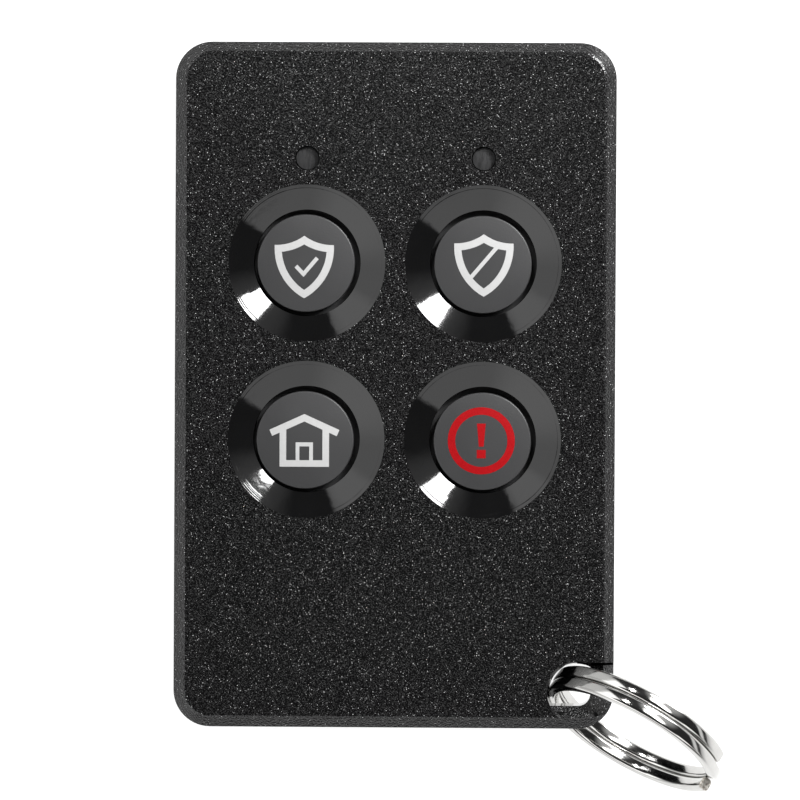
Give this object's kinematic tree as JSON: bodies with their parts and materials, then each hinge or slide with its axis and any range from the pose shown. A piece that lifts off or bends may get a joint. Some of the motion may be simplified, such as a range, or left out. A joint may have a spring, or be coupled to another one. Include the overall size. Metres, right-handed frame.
{
  "type": "alarm key fob",
  "caption": "Flat black alarm key fob with round keys in dished wells, status lights above them and a split key ring through a corner lug.",
  "frame": {"origin": "centre of the flat back face of the case", "axes": "+Z out of the front face, +Y towards the status lights, +X to the side of the lug"},
  "size_m": [0.045, 0.0615, 0.0156],
  "materials": {
    "case_black": "fine sparkle texture from the mould, polished in the key wells",
    "key_grey": "satin",
    "switch_plastic": "plain",
    "switch_metal": "bright",
    "smoked_lens": "smoky, clear",
    "led_body": "clear resin",
    "board_green": "solder mask",
    "chip_black": "moulded",
    "crystal_can": "plated",
    "component_brown": "fired",
    "antenna_metal": "plated",
    "cell_metal": "plated",
    "contact_metal": "plated spring metal",
    "screw_steel": "plated",
    "ring_steel": "nickel plated"
  },
  "bodies": {
    "case": {"front_cover": "case_black", "rear_cover": "case_black", "arm_switch": "switch_metal", "disarm_switch": "switch_metal", "home_switch": "switch_metal", "panic_switch": "switch_metal", "left_light_pipe": "smoked_lens", "right_light_pipe": "smoked_lens", "left_led": "led_body", "right_led": "led_body", "circuit_board": "board_green", "radio_chip": "chip_black", "crystal": "crystal_can", "small_components": "component_brown", "loop_antenna": "antenna_metal", "coin_cell": "cell_metal", "battery_clip": "contact_metal", "battery_spring": "contact_metal", "case_screws": "screw_steel"},
    "arm_key": {"arm_button": "key_grey", "arm_plunger": "switch_plastic"},
    "disarm_key": {"disarm_button": "key_grey", "disarm_plunger": "switch_plastic"},
    "home_key": {"home_button": "key_grey", "home_plunger": "switch_plastic"},
    "panic_key": {"panic_button": "key_grey", "panic_plunger": "switch_plastic"},
    "ring": {"split_ring": "ring_steel"}
  },
  "joints": [
    {"name": "arm_press", "type": "slide", "parent": "case", "child": "arm_key", "axis": [0, 0, -1], "range_m": [0, 0.0004], "stiffness_N_per_m": 4000},
    {"name": "disarm_press", "type": "slide", "parent": "case", "child": "disarm_key", "axis": [0, 0, -1], "range_m": [0, 0.0004], "stiffness_N_per_m": 4000},
    {"name": "home_press", "type": "slide", "parent": "case", "child": "home_key", "axis": [0, 0, -1], "range_m": [0, 0.0004], "stiffness_N_per_m": 4000},
    {"name": "panic_press", "type": "slide", "parent": "case", "child": "panic_key", "axis": [0, 0, -1], "range_m": [0, 0.0004], "stiffness_N_per_m": 4000},
    {"name": "ring_swing", "type": "hinge", "parent": "case", "child": "ring", "pos_m": [0.015, -0.025, 0.0085], "axis": [0, 0, 1], "range_deg": [-36, 8]}
  ]
}
